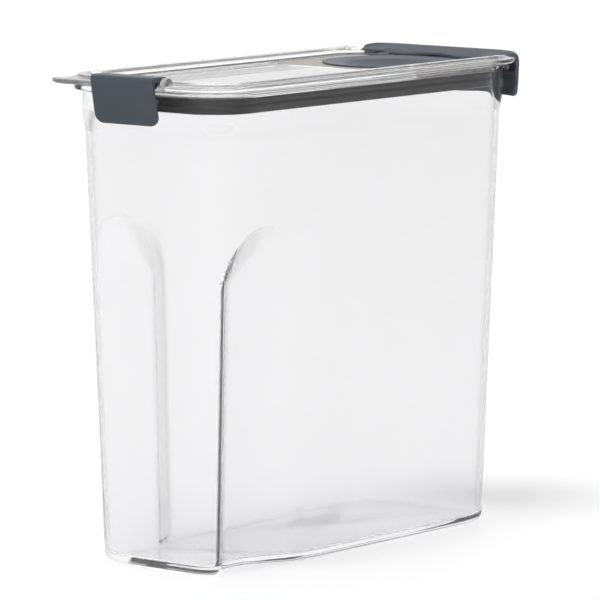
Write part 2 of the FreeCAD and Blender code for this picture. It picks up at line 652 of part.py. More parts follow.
def make_pour_latch():
    """The wide latch: sloped top pad, curved skirt with a bead, and two hinge knuckles."""
    unit = size("profile_unit")
    x0, rear = size("pour_pad_x"), size("flange_rear")
    far = rear * OVERRUN
    top, low = size("pour_latch_top"), size("pour_latch_bottom")
    gap, wall = size("pour_skirt_gap"), size("pour_skirt_wall")
    half, cut = size("pour_latch_half_width"), size("pour_latch_round")
    solid = latch_block("pour_latch_outer", [
        (x0, top - unit * 4.6), (x0, top - unit * 2.1), (x0 + unit * 4.0, top - unit * 1.1),
        (x0 + unit * 8.4, top - unit * 0.3), (rear - unit, top), (rear + gap + wall * 0.4, top - unit * 0.6),
        (rear + gap + wall, top - unit * 2.2), (rear + gap + wall, low), (x0 - unit * 8, low),
        (x0 - unit * 8, top - unit * 4.6),
    ], gap + wall, half, cut)
    hollow = latch_block("pour_latch_inner", [
        (x0 - unit * 9, low - unit), (rear + gap + unit, low - unit), (rear + gap + unit, top - unit * 2.0),
        (rear - unit, top - unit * 2.0), (x0 + unit * 3.6, top - unit * 3.0),
        (x0 - unit * 0.5, top - unit * 4.6),
        (x0 - unit * 9, top - unit * 4.6),
    ], gap, half + unit, cut)
    hollowed = combine("Cut", "pour_latch_hollowed", solid, hollow)
    clearance = latch_block("pour_latch_clearance", [
        (x0 - unit * 9, low - unit), (rear + gap + unit, low - unit), (rear + gap + unit, top - unit * 3.05),
        (x0 - unit * 9, top - unit * 3.05),
    ], gap, half + unit, cut)
    middle_body = new_body("pour_latch_middle")
    middle = new_sketch(middle_body, "pour_latch_middle_span", "XY_Plane", size("latch_block_bottom"))
    span = size("pour_pad_middle")
    add_polygon(middle, [(ZERO, -span), (far, -span), (far, span), (ZERO, span)])
    pad(middle_body, middle, size("latch_block_height"))
    corners = combine("Cut", "pour_latch_corners", clearance, middle_body)
    shell = combine("Cut", "pour_latch_shell", hollowed, corners)

    bead_body = new_body("pour_latch_bead")
    bead = new_sketch(bead_body, "pour_latch_bead_ring", "XY_Plane", size("pour_bead_bottom"))
    spread, bead_gap = gap + wall / 2, size("pour_bead_gap")
    add_rounded_rectangle(bead, -size("flange_front"), rear + spread, size("flange_width") / 2 + spread,
                          size("flange_front_radius"), size("flange_rear_radius") + spread)
    add_rounded_rectangle(bead, -size("rim_length") / 2, rear + bead_gap,
                          size("flange_width") / 2 + bead_gap / 2, size("flange_front_radius"),
                          size("flange_rear_radius"))
    pad(bead_body, bead, size("pour_bead_top") - size("pour_bead_bottom"))
    keep_body = new_body("pour_latch_bead_limit")
    keep = new_sketch(keep_body, "pour_latch_bead_span", "XY_Plane", size("pour_bead_bottom"))
    reach = half - cut
    add_polygon(keep, [(x0, -reach), (far, -reach), (far, reach), (x0, reach)])
    pad(keep_body, keep, size("pour_bead_top") - size("pour_bead_bottom"))
    bead_part = combine("MultiCommon", "pour_latch_bead_part", bead_body, keep_body)
    beaded = combine("MultiFuse", "pour_latch_beaded", shell, bead_part)

    scoop_body = new_body("pour_latch_scoop")
    scoop = new_sketch(scoop_body, "pour_latch_scoop_circle", "XY_Plane", size("flap_floor_top"))
    add_circle(scoop, size("pour_x"), ZERO, size("pour_pad_arc"))
    pad(scoop_body, scoop, top * 2 - size("flap_floor_top") * 2)
    scooped = combine("Cut", "pour_latch_scooped", beaded, scoop_body)

    arms = new_body("pour_latch_arms")
    x, z, radius = size("pour_pivot_x"), size("pour_pivot_z"), size("pour_barrel_radius")
    width = size("knuckle_outer") - size("knuckle_inner")
    arm = new_sketch(arms, "pour_latch_arm", "XZ_Plane", size("knuckle_inner"))
    add_polygon(arm, [
        (x - radius, z), (x + radius, z), (x0 + unit * 1.2, top - unit * 4.2),
        (x0 + unit * 1.2, top - unit * 2.6), (x0, top - unit * 2.4), (x - radius, top - unit * 4.2),
    ])
    raised = pad(arms, arm, width)
    knuckle = new_sketch(arms, "pour_latch_knuckle", "XZ_Plane", size("knuckle_inner"))
    add_circle(knuckle, x, z, radius)
    rounded = pad(arms, knuckle, width)
    bored = new_sketch(arms, "pour_latch_bore", "XZ_Plane", size("knuckle_inner"))
    add_circle(bored, x, z, size("running_bore_radius"))
    cut_bore = pocket(arms, bored, width, reverse=True)
    mirror(arms, raised, rounded, cut_bore)
    return combine("MultiFuse", "pour_latch", scooped, arms)


def make_pour_latch_pins():
    """The wide latch's two equal hinge pins, kept as one node."""
    half = (size("lug_outer") - size("lug_inner")) / 2
    middle = size("lug_inner") + half
    pins = [pin(f"pour_latch_pin_{side}", size("pour_pivot_x"), size("pour_pivot_z"), half, middle * sign)
            for side, sign in (("left", 1.0), ("right", -1.0))]
    group = doc.addObject("Part::Compound", "pour_latch_pin")
    group.Links = pins
    group.Label = "pour_latch_pin"
    return group


# ---------------------------------------------------------------- build and export

def main():
    """Build every sub-part, check the document and write one file a sub-part."""
    make_sheet()
    parts = [
        make_bin_body(),
        make_lid(),
        make_lid_gasket(),
        make_front_latch(),
        pin("front_latch_pin", -size("front_pivot_x"), size("front_pivot_z"),
            size("notch_half_width") + size("front_lug_width")),
        make_pour_flap(),
        pin("pour_flap_pin", size("flap_pivot_x"), size("flap_pivot_z"), size("flap_lug_half")),
        make_pour_cap(),
        make_pour_gasket(),
        make_pour_latch(),
        make_pour_latch_pins(),
    ]
    doc.recompute()
    for item in doc.Objects:
        if "Invalid" in item.State or "Error" in item.State:
            raise RuntimeError(f"{item.Label} failed: {item.State}")
    os.makedirs("parts", exist_ok=True)
    for part in parts:
        shape = part.Shape
        if shape.isNull() or not shape.isValid():
            raise RuntimeError(f"{part.Label} has no valid shape")
        box = shape.BoundBox
        print(f"{part.Label}: {len(shape.Solids)} solid(s), {shape.Volume:.0f} mm3, "
              f"x {box.XMin:.1f}..{box.XMax:.1f}, y {box.YMin:.1f}..{box.YMax:.1f}, "
              f"z {box.ZMin:.1f}..{box.ZMax:.1f}")
        shape.exportStep(f"parts/{part.Label}.step")


main()
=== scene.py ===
import math

import bmesh
import bpy
import numpy as np
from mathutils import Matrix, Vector


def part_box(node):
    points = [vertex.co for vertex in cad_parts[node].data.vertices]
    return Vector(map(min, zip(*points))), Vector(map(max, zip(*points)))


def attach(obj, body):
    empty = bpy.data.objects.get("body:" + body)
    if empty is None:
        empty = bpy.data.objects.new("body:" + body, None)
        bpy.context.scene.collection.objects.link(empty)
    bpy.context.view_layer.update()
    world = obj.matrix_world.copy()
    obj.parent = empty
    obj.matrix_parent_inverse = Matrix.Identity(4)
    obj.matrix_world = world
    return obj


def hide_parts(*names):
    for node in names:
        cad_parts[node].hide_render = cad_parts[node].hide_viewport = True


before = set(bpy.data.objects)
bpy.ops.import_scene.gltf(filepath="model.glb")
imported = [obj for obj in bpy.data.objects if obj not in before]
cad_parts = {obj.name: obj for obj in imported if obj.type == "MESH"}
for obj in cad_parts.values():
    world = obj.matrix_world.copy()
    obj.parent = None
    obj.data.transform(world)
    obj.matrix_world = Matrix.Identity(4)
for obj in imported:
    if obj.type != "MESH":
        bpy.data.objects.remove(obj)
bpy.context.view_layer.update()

MM = 0.001

# ---------------------------------------------------------------- sizes, in millimetres


def box_mm(node):
    """Lowest and highest corner of a CAD node, in millimetres."""
    low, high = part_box(node)
    return [value / MM for value in low], [value / MM for value in high]


BIN_HIGH = box_mm("bin_body")[1]
LID_LOW, LID_HIGH = box_mm("lid")
SEAL_LOW, SEAL_HIGH = box_mm("lid_gasket")
CAP_LOW, CAP_HIGH = box_mm("pour_cap")
FRONT_LOW, FRONT_HIGH = box_mm("front_latch")
REAR_LOW, REAR_HIGH = box_mm("pour_latch")
FRONT_PIN_LOW, FRONT_PIN_HIGH = box_mm("front_latch_pin")

# Outlines of the bin: half-length, half-width and corner radius.
BIN_TOP = BIN_HIGH[2]
BASE = (108.0, 42.0, 21.0)
MOUTH = (113.85, 47.85, 19.2)
COLLAR = (114.6, 48.6, 20.0)
RIM = (BIN_HIGH[0], BIN_HIGH[1], 26.0)
FLARE = (112.3, 46.3, 22.5)

WALL = 2.4
FLOOR_TOP = 3.6
FOOT_RADIUS = 4.6
BOWL_RADIUS = 3.2
COLLAR_UNDER = 213.0
FLARE_UNDER = 215.5
RIM_UNDER = BIN_TOP - 2.5
SWELL_LENGTH = 8.0
LEAN = (MOUTH[1] - BASE[1]) / BIN_TOP

GRIP_WALL = 1.4
NO_GRIP = -60.0    # an inset that leaves the recess far outside the wall
MID_WALL_X = -20.0

SEAT = BIN_TOP
SEAT_TOP = SEAT + 1.0
FLANGE_TOP = 231.8
CREST_TOP = 233.2
PANEL_TOP = 228.5
PANEL_UNDER = 226.2
SEAL = (SEAL_HIGH[0], SEAL_HIGH[1], 22.1)
STEP_X = 34.6
FLAP_FLOOR = 224.4
POCKET_UNDER = FLAP_FLOOR - 2.2
POUR_X = (CAP_LOW[0] + CAP_HIGH[0]) / 2.0
HOLE_R = 27.35
HOLE_COLLAR_R = HOLE_R + 1.95
HOLE_COLLAR_LOW = 219.5
NOTCH_X = -118.6
NOTCH_Y = 19.4
GATE = (98.0, 49.5, 230.6)
LUG_RADIUS = 2.6
LUG_WIDTH = 3.0
PIN_BORE = 1.02
CUT_LOW, CUT_HIGH, CUT_X = 210.0, 240.0, 140.0    # bounds that cutters reach past the lid

REAR_PIVOT = (103.5, 227.6)
LATCH_EDGE = 0.55
SKIRT_GAP = 0.8
SKIRT_WALL = 2.0
PAD_X = 107.0
KNUCKLE_Y = (25.8, 32.2)
SLEEVES_Y = ((22.05, 25.4), (32.6, 35.95))
SLEEVE_RADIUS = 1.98
PLUG_R = 26.3
GROOVE_R = 25.0


def smooth_step(t):
    """0 below 0 and 1 above 1, with a smooth change between."""
    t = np.clip(t, 0.0, 1.0)
    return t * t * (3.0 - 2.0 * t)


def round_off(over):
    """How far a quarter circle of radius 1 has fallen back, at a share of the way round it."""
    return 1.0 - math.sqrt(max(1.0 - min(over, 1.0) ** 2, 0.0))


def across(sign, inner, outer):
    """Lower and upper place across the bin of a span on one side of its middle."""
    return sorted((sign * inner, sign * outer))


class Grip:
    """One arched recess: a floor arch and a wider arch in the plane outside the wall."""

    arch_height = 132.2
    floor_x = -79.5
    outer_x = -80.1
    outer_y = 47.5
    least_half = 5.0

    def __init__(self, growth):
        self.floor_y = 28.5 - growth
        self.floor_r = 11.5 + growth
        self.outer_r = 40.4 + growth

    def share(self, x, z):
        """0 at the recess floor and 1 in the outer plane, from the arches between them."""
        a = x - self.floor_x
        shift = self.outer_x - self.floor_x
        spread = self.outer_r - self.floor_r
        rise = np.maximum(z - self.arch_height, 0.0)
        qa = spread ** 2 - shift ** 2
        qb = 2.0 * (self.floor_r * spread + a * shift)
        qc = self.floor_r ** 2 - a ** 2 - rise ** 2
        return (-qb + np.sqrt(np.maximum(qb ** 2 - 4.0 * qa * qc, 0.0))) / (2.0 * qa)

    def surface(self, x, z):
        """Half-width of the recess surface, which meets its floor more softly to the rear."""
        soft = 0.04 + 0.2 * smooth_step((x - self.floor_x + 2.0) / 18.0)
        share = self.share(x, z)
        eased = 0.5 * (share + np.sqrt(share ** 2 + soft ** 2))
        return self.floor_y + (self.outer_y - self.floor_y) * eased + LEAN * z

    def edge(self, z, y_wall, sign):
        """Place along the bin where the recess meets the wall, to its front (-1) or rear (+1)."""
        share = (y_wall - self.floor_y - LEAN * z) / (self.outer_y - self.floor_y)
        centre = self.floor_x + (self.outer_x - self.floor_x) * share
        radius = self.floor_r + (self.outer_r - self.floor_r) * share
        rise = max(z - self.arch_height, 0.0)
        half = math.sqrt(max(radius ** 2 - rise ** 2, 0.0))
        return centre + sign * max(half, self.least_half)


# ---------------------------------------------------------------- mesh tools


def clean(mesh, merge, shortest, outward=False):
    """Merge doubled points, drop degenerate faces and, if asked, turn every face outwards."""
    work = bmesh.new()
    work.from_mesh(mesh)
    bmesh.ops.remove_doubles(work, verts=work.verts, dist=merge)
    bmesh.ops.dissolve_degenerate(work, edges=work.edges, dist=shortest)
    if outward:
        bmesh.ops.recalc_face_normals(work, faces=work.faces)
    work.to_mesh(mesh)
    work.free()


def shade(obj, angle=32.0):
    """Shade smoothly, keeping edges sharper than an angle crisp."""
    mesh = obj.data
    mesh.polygons.foreach_set("use_smooth", [True] * len(mesh.polygons))
    mesh.set_sharp_from_angle(angle=math.radians(angle))


def make_object(name, points, faces, smooth=True):
    """Make a mesh object from millimetre points, with consistent outward normals."""
    mesh = bpy.data.meshes.new(name)
    mesh.from_pydata([tuple(p) for p in np.asarray(points) * MM], [], faces)
    obj = bpy.data.objects.new(name, mesh)
    bpy.context.scene.collection.objects.link(obj)
    clean(mesh, 1e-6, 1e-7, outward=True)
    if smooth:
        shade(obj)
    return obj


def outline(left, right, half_width, left_radius, right_radius):
    """A rounded rectangle as one vector, so that outlines can be blended."""
    return np.array([left, right, half_width, left_radius, right_radius], float)


def centred(half_length, half_width, radius, inset=0.0):
    """A rounded rectangle about the origin, inset all round."""
    half_length, half_width = half_length - inset, half_width - inset
    radius = max(radius - inset, 1.0)
    return outline(-half_length, half_length, half_width, radius, radius)


def outline_points(shape, long_count=20, short_count=8, arc_count=14):
    """Points round an outline, anticlockwise from the middle of its right side."""
    left, right, w, rl, rr = shape
    points = []

    def line(start, end, count):
        for i in range(count):
            t = i / count
            points.append(tuple(a + (b - a) * t for a, b in zip(start, end)))

    def arc(cx, cy, radius, start):
        for i in range(arc_count):
            angle = math.radians(start + 90.0 * i / arc_count)
            points.append((cx + radius * math.cos(angle), cy + radius * math.sin(angle)))

    line((right, 0.0), (right, w - rr), short_count)
    arc(right - rr, w - rr, rr, 0.0)
    line((right - rr, w), (left + rl, w), long_count)
    arc(left + rl, w - rl, rl, 90.0)
    line((left, w - rl), (left, -w + rl), short_count * 2)
    arc(left + rl, -w + rl, rl, 180.0)
    line((left + rl, -w), (right - rr, -w), long_count)
    arc(right - rr, -w + rr, rr, 270.0)
    line((right, -w + rr), (right, 0.0), short_count)
    return points


def level(shape, z):
    """An outline at a height."""
    return np.append(shape, z)


def plane_vector(a, b):
    """A point of a plane section, in the form that round_profile takes."""
    return np.array([a, 0.0, 0.0, b], float)


def round_profile(profile, closed=False, steps=5):
    """Round the corners of a profile of (vector, radius) pairs.

    A vector's last number is its height, and its fourth from last says how far out it is.
    """
    result = []
    count = len(profile)
    for i, (point, radius) in enumerate(profile):
        if radius <= 0.0 or (not closed and i in (0, count - 1)):
            result.append(point)
            continue
        start, end = (
            point + side * min(radius / max(np.hypot(side[-4], side[-1]), 1e-6), 0.49)
            for side in (profile[i - 1][0] - point, profile[(i + 1) % count][0] - point)
        )
        for k in range(steps + 1):
            t = k / steps
            result.append((1 - t) ** 2 * start + 2 * t * (1 - t) * point + t ** 2 * end)
    return result


def round_corners(points):
    """Round a closed plane outline of (a, b, radius) corners."""
    packed = [(plane_vector(a, b), radius) for a, b, radius in points]
    return [(vector[0], vector[-1]) for vector in round_profile(packed, closed=True)]


def skin(name, rings, closed=False, caps=True):
    """A mesh through successive rings of equal length, open, closed on itself or capped."""
    size = len(rings[0])
    faces = []
    for i in range(len(rings) if closed else len(rings) - 1):
        a, b = i * size, ((i + 1) % len(rings)) * size
        for j in range(size):
            k = (j + 1) % size
            faces.append((a + j, a + k, b + k, b + j))
    if caps:
        faces.append(tuple(range(size)))
        faces.append(tuple((len(rings) - 1) * size + j for j in range(size)))
    return make_object(name, [p for ring in rings for p in ring], faces)


def stack(name, profile, closed=False):
    """A solid made of outlines at successive heights."""
    rings = []
    for vector in round_profile(profile, closed):
        rings.append([(x, y, vector[-1]) for x, y in outline_points(vector[:-1])])
    return skin(name, rings, closed, caps=not closed)


def lathe(name, profile, centre_x, segments=128):
    """A solid of revolution about an upright axis; profile is (radius, height, rounding)."""
    angles = [2.0 * math.pi * j / segments for j in range(segments)]
    section = round_profile([(plane_vector(r, z), rounding) for r, z, rounding in profile])
    rings = [[(centre_x + vector[0] * math.cos(angle), vector[0] * math.sin(angle), vector[-1])
              for angle in angles] for vector in section]
    return skin(name, rings, caps=False)


def rod(x, z, radius, y_low, y_high, segments=40):
    """A round rod along Y."""
    angles = [2 * math.pi * j / segments for j in range(segments)]
    rings = [[(x + radius * math.cos(angle), y, z + radius * math.sin(angle)) for angle in angles]
             for y in (y_low, y_high)]
    return skin("cutter", rings)


def block(low, high):
    """A plain cutting box."""
    points = [(x, y, z) for z in (low[2], high[2]) for y in (low[1], high[1])
              for x in (low[0], high[0])]
    faces = [(0, 2, 3, 1), (4, 5, 7, 6), (0, 1, 5, 4), (2, 6, 7, 3), (0, 4, 6, 2), (1, 3, 7, 5)]
    return make_object("cutter", points, faces, smooth=False)


def carve(obj, tool, operation="DIFFERENCE"):
    """Apply one exact boolean, delete the tool and clean the result."""
    modifier = obj.modifiers.new(operation, "BOOLEAN")
    modifier.operation = operation
    modifier.object = tool
    modifier.solver = "EXACT"
    bpy.context.view_layer.update()
    graph = bpy.context.evaluated_depsgraph_get()
    result = bpy.data.meshes.new_from_object(obj.evaluated_get(graph))
    obj.modifiers.clear()
    old = obj.data
    obj.data = result
    bpy.data.meshes.remove(old)
    result.name = obj.name
    bpy.data.objects.remove(tool)
    clean(result, 2e-6, 1e-6)
    shade(obj)


# ---------------------------------------------------------------- bin


def shares(count):
    """Even shares from 0 up to, but not including, 1."""
    return np.linspace(0.0, 1.0, count, endpoint=False)


def spread_shares(count, power):
    """Shares from 0 to 1, closer together near both ends."""
    t = np.linspace(-1.0, 1.0, count, endpoint=False)
    return 0.5 * (1.0 + np.sign(t) * (1.0 - (1.0 - np.abs(t)) ** power))


def bin_half_ring(shape, z, grip, inset):
    """Half of one level of the bin, from the middle of its front end to that of its rear end."""
    half_length, half_width, radius = shape
    cx, cy = half_length - radius, half_width - radius
    quarter = radius * math.pi / 2.0
    s_end = quarter + 2.0 * cx

    def wall(s):
        """The plain wall's point at a distance along it from the front corner's start."""
        if s < 0.0:
            return -half_length, cy + s
        if s < quarter:
            angle = s / radius
            return -cx - radius * math.cos(angle), cy + radius * math.sin(angle)
        if s < s_end:
            return -cx + (s - quarter), half_width
        angle = min((s - s_end) / radius, math.pi / 2.0)
        return cx + radius * math.sin(angle), cy + radius * math.cos(angle)

    def place(x):
        """The distance along the wall of a place along the bin."""
        if x < -cx:
            return radius * math.acos(min(max((-cx - x) / radius, 0.0), 1.0))
        return quarter + x + cx

    # The recess's front edge may lie on the rounded corner, so it is found by steps.
    y_front = half_width
    for _ in range(12):
        front = grip.edge(z, y_front + inset, -1)
        y_front = wall(place(front))[1]
    rear = grip.edge(z, half_width + inset, 1)
    s_front, s_rear, s_plain = place(front), place(rear), place(MID_WALL_X)
    stations = [-cy * (1.0 - t) for t in shares(7)]
    stations += [s_front * t for t in 1.0 - (1.0 - shares(22)) ** 1.6]
    stations += [s_front + (s_rear - s_front) * t for t in spread_shares(72, 2.6)]
    stations += [s_rear + (s_plain - s_rear) * t for t in shares(16) ** 1.5]
    stations += [s_plain + (s_end - s_plain) * t for t in shares(14)]
    stations += [s_end + quarter * t for t in shares(16)]
    points = []
    for s in stations:
        x, y = wall(s)
        gap = y - (float(grip.surface(np.float64(x), np.float64(z))) - inset)
        if gap > -12.0:
            crisp = 0.35 + 3.4 * float(smooth_step((x + 82.0) / 26.0))
            eased = y - 0.5 * (gap + math.sqrt(gap * gap + crisp * crisp))
            y += (eased - y) * float(smooth_step((gap + 12.0) / 8.0))
        points.append((x, y, z))
    points += [(half_length, cy * (1.0 - t), z) for t in shares(6)]
    points.append((half_length, 0.0, z))
    return points


def bin_ring(shape, z, grip, inset=0.0):
    """One whole level of the bin."""
    half = bin_half_ring(shape, z, grip, inset)
    return half + [(x, -y, z) for x, y, _ in reversed(half[1:-1])]


def wall_shape(z, inset):
    """The drafted wall's outline at a height."""
    t = z / BIN_TOP
    return tuple(b + (m - b) * t - inset for b, m in zip(BASE, MOUTH))


def swell(z, inset, shape, low, high):
    """The wall's outline easing out into a wider one between two heights."""
    share = float(smooth_step((z - low) / (high - low)))
    return tuple(a + (b - a) * share for a, b in zip(wall_shape(z, inset), shape))


def grown(shape, by):
    """An outline of the bin moved outwards all round."""
    return tuple(value + by for value in shape)


def wall_heights(low, high):
    """Levels up the wall, close together round the top of the grip arches."""
    heights = []
    for start, end, count in ((low, 124.0, 20), (124.0, 148.0, 22), (148.0, 176.0, 50)):
        heights += list(np.linspace(start, end, count, endpoint=False))
    return heights + list(np.linspace(176.0, high, 10))


def quarter_round(radius, steps=6):
    """(inset, rise) pairs up a rounded bottom edge."""
    angles = [math.pi / 2.0 * k / steps for k in range(steps + 1)]
    return [(radius * (1.0 - math.sin(a)), radius * (1.0 - math.cos(a))) for a in angles]


def make_bin():
    """The clear bin: foot radius, drafted wall with grips, collar, rim, flared mouth and inside."""
    outer, inner = Grip(0.0), Grip(GRIP_WALL)
    rings = []
    for inset, z in quarter_round(FOOT_RADIUS):
        rings.append(bin_ring(wall_shape(z, inset), z, outer, inset))
    low, high = COLLAR_UNDER - SWELL_LENGTH, COLLAR_UNDER + 2.5
    for z in wall_heights(FOOT_RADIUS + 3.0, low):
        rings.append(bin_ring(wall_shape(z, 0.0), z, outer))
    for z in np.linspace(low, high, 14):
        rings.append(bin_ring(swell(z, 0.0, COLLAR, low, high), z, outer, NO_GRIP))
    for shape, z in (
        (COLLAR, COLLAR_UNDER + 5.0), (COLLAR, RIM_UNDER - 0.8),
        (grown(COLLAR, 0.4), RIM_UNDER - 0.2), (grown(COLLAR, 1.0), RIM_UNDER),
        (grown(RIM, -0.6), RIM_UNDER), (grown(RIM, -0.18), RIM_UNDER + 0.18),
        (RIM, RIM_UNDER + 0.6), (RIM, BIN_TOP - 0.7), (grown(RIM, -0.2), BIN_TOP - 0.2),
        (grown(RIM, -0.7), BIN_TOP), (grown(FLARE, 0.7), BIN_TOP),
        (grown(FLARE, 0.2), BIN_TOP - 0.2), (FLARE, BIN_TOP - 0.7), (FLARE, FLARE_UNDER + 4.0),
    ):
        rings.append(bin_ring(shape, z, outer, NO_GRIP))
    low, high = FLARE_UNDER - SWELL_LENGTH, FLARE_UNDER + 2.0
    for z in np.linspace(high, low, 14):
        rings.append(bin_ring(swell(z, WALL, FLARE, low, high), z, inner, NO_GRIP))
    for z in reversed(wall_heights(FLOOR_TOP + 5.0, low - 1.0)):
        rings.append(bin_ring(wall_shape(z, WALL), z, inner))
    for inset, rise in reversed(quarter_round(BOWL_RADIUS)):
        z = FLOOR_TOP + rise
        rings.append(bin_ring(wall_shape(z, WALL + inset), z, inner, inset))
    return skin("bin_shell", rings)


# ---------------------------------------------------------------- lid

FLANGE = outline(LID_LOW[0], LID_HIGH[0], LID_HIGH[1], 20.0, 28.0)


def seal_outline(inset):
    """The lid seal's outer outline, inset all round."""
    return centred(*SEAL, inset)


def rim_outline(inset):
    """The bin rim's outline, inset all round."""
    return centred(*RIM, inset)


def flange_outline(inset):
    """The lid flange's outline, inset all round."""
    return FLANGE + np.array([inset, -inset, -inset, -inset, -inset])


def plate(shape, low, high):
    """A cutter with one outline between two heights."""
    return stack("cutter", [(level(shape, low), 0.0), (level(shape, high), 0.0)])


def disc(radius, low, high, rounding=0.0):
    """A round cutter about the pour hole, between two heights in the order given."""
    profile = [(0.0, low, 0.0), (radius, low, rounding), (radius, high, 0.0), (0.0, high, 0.0)]
    return lathe("cutter", profile, POUR_X)


def make_lid():
    """The clear lid: one section round the rim, then its pocket, hole, notch, gate and lugs."""
    profile = [
        (level(seal_outline(30.0), PANEL_TOP), 0.0),
        (level(seal_outline(1.5), PANEL_TOP), 1.2),
        (level(seal_outline(-0.1), FLANGE_TOP + 0.4), 0.8),
        (level(rim_outline(5.4), CREST_TOP), 0.9),
        (level(rim_outline(1.6), CREST_TOP), 1.0),
        (level(rim_outline(0.8), FLANGE_TOP + 0.25), 0.9),
        (level(flange_outline(0.4), FLANGE_TOP), 0.9),
        (level(FLANGE, SEAT_TOP + 1.2), 0.8),
        (level(flange_outline(0.5), SEAT_TOP), 0.8),
        (level(rim_outline(0.5), SEAT_TOP), 0.3),
        (level(rim_outline(0.8), SEAT), 0.3),
        (level(seal_outline(0.0), SEAT), 0.2),
        (level(seal_outline(0.0), PANEL_UNDER), 0.2),
        (level(seal_outline(2.0), PANEL_UNDER), 0.3),
        (level(seal_outline(2.1), LID_LOW[2]), 0.6),
        (level(seal_outline(3.9), LID_LOW[2]), 0.6),
        (level(seal_outline(4.0), PANEL_UNDER), 0.8),
        (level(seal_outline(30.0), PANEL_UNDER), 0.0),
    ]
    lid = stack("lid_shell", profile)
    deck = outline(STEP_X - 2.2, SEAL[0] - 3.0, SEAL[1] - 3.0, 1.0, SEAL[2] - 3.0)
    carve(lid, plate(deck, POCKET_UNDER, PANEL_UNDER + 0.8), "UNION")
    carve(lid, disc(HOLE_COLLAR_R, HOLE_COLLAR_LOW, POCKET_UNDER + 0.6, 0.6), "UNION")
    pocket = outline(STEP_X, SEAL[0] - 1.3, SEAL[1] - 1.3, 1.0, SEAL[2] - 1.3)
    carve(lid, plate(pocket, FLAP_FLOOR, PANEL_TOP + 0.6))
    carve(lid, disc(HOLE_R, CUT_LOW, CUT_HIGH))
    carve(lid, block((-CUT_X, -NOTCH_Y, SEAT - 1.0), (NOTCH_X, NOTCH_Y, CUT_HIGH)))
    gate_x, gate_y, gate_z = GATE
    carve(lid, block((gate_x, -gate_y, gate_z), (CUT_X, gate_y, CUT_HIGH)))
    pin_x = (FRONT_PIN_LOW[0] + FRONT_PIN_HIGH[0]) / 2.0
    pin_z = (FRONT_PIN_LOW[2] + FRONT_PIN_HIGH[2]) / 2.0
    for sign in (-1.0, 1.0):
        outer = NOTCH_Y + LUG_WIDTH
        carve(lid, rod(pin_x, pin_z, LUG_RADIUS, *across(sign, NOTCH_Y, outer)), "UNION")
        carve(lid, rod(pin_x, pin_z, PIN_BORE, *across(sign, NOTCH_Y - 1.0, outer)))
    return lid


def make_lid_seal():
    """The dark seal: a body against the skirt with an upper and a lower fin."""
    low, high = SEAL_LOW[2], SEAL_HIGH[2]
    section = (
        (2.0, high - 0.1, 0.2), (0.6, high - 0.1, 0.3), (0.5, high - 1.0, 0.3),
        (-0.1, high - 1.9, 0.3), (0.1, high - 2.9, 0.3), (0.5, high - 3.4, 0.3),
        (0.5, low + 4.6, 0.3), (-0.05, low + 3.6, 0.5), (0.9, low + 0.4, 0.4),
        (2.0, low + 0.1, 0.2),
    )
    profile = [(level(seal_outline(inset), z), radius) for inset, z, radius in section]
    return stack("lid_seal", profile, closed=True)


# ---------------------------------------------------------------- latches, cap and its seal


def latch_stations(half, corner, plain_count, corner_count, corner_start):
    """Places across a latch, each with how far its section shrinks to soften the latch's ends."""
    marks = [((half - corner) * t, 0.0) for t in np.linspace(0.0, 1.0, plain_count)]
    marks += [(half - corner + (corner - LATCH_EDGE) * t, 0.0)
              for t in np.linspace(corner_start, 1.0, corner_count)]
    for turn in (math.pi / 8.0 * k for k in (1, 2, 3, 4)):
        marks.append((half - LATCH_EDGE + LATCH_EDGE * math.sin(turn),
                      LATCH_EDGE * (1 - math.cos(turn))))
    return [(-y, shrink) for y, shrink in reversed(marks[1:])] + marks


def make_front_latch():
    """The narrow latch as one moulding with a softened edge and rounded lower corners."""
    half = FRONT_HIGH[1]
    low, top = FRONT_LOW[2], FRONT_HIGH[2]
    out, inn = FRONT_LOW[0], FRONT_HIGH[0]
    corner = 5.0
    sections = []
    for y, d in latch_stations(half, corner, 15, 12, 0.1):
        lift = corner * round_off(max(abs(y) - (half - corner), 0.0) / corner)
        lower = low + lift * 0.9
        foot_x = out + 3.6 - 3.4 * (lower - low) / (top - low)
        bead = 10.1 - 6.2 * float(smooth_step((abs(y) - 14.5) / 2.5))
        profile = [
            (inn - d, top - 3.1, 1.4), (inn - d, top - d, 1.6),
            (out + 0.1 + d, top - d, 2.4), (out + d, top - 3.2, 1.5),
            (foot_x + d, lower + d, 0.9), (foot_x + 2.2 - d, lower + d, 0.9),
            (out + 4.1 - d, low + 9.0 + lift * 0.2, 1.0),
            (out + bead - d, low + 10.2 + d, 0.8), (out + bead - d, low + 11.9 - d, 0.8),
            (out + 3.2 - d, low + 13.2, 1.0), (out + 2.3 - d, top - 3.4, 0.8),
            (out + 3.2, top - 2.2 + d, 0.8), (inn - 6.2, top - 2.2 + d, 1.0),
            (inn - 5.9 + d, top - 5.0 + d, 1.6), (inn - 2.8, top - 6.2 + d, 1.6),
            (inn - d, top - 5.0 + d, 1.6),
        ]
        sections.append([(a, y, b) for a, b in round_corners(profile)])
    return skin("front_latch_cover", sections)


def end_curve(y):
    """Place along the bin of the lid's rear outline at a distance across it, and its angle."""
    radius = FLANGE[4]
    cx, cy = FLANGE[1] - radius, FLANGE[2] - radius
    over = max(abs(y) - cy, 0.0)
    angle = math.asin(min(over / radius, 0.999))
    return cx + radius * math.cos(angle), angle


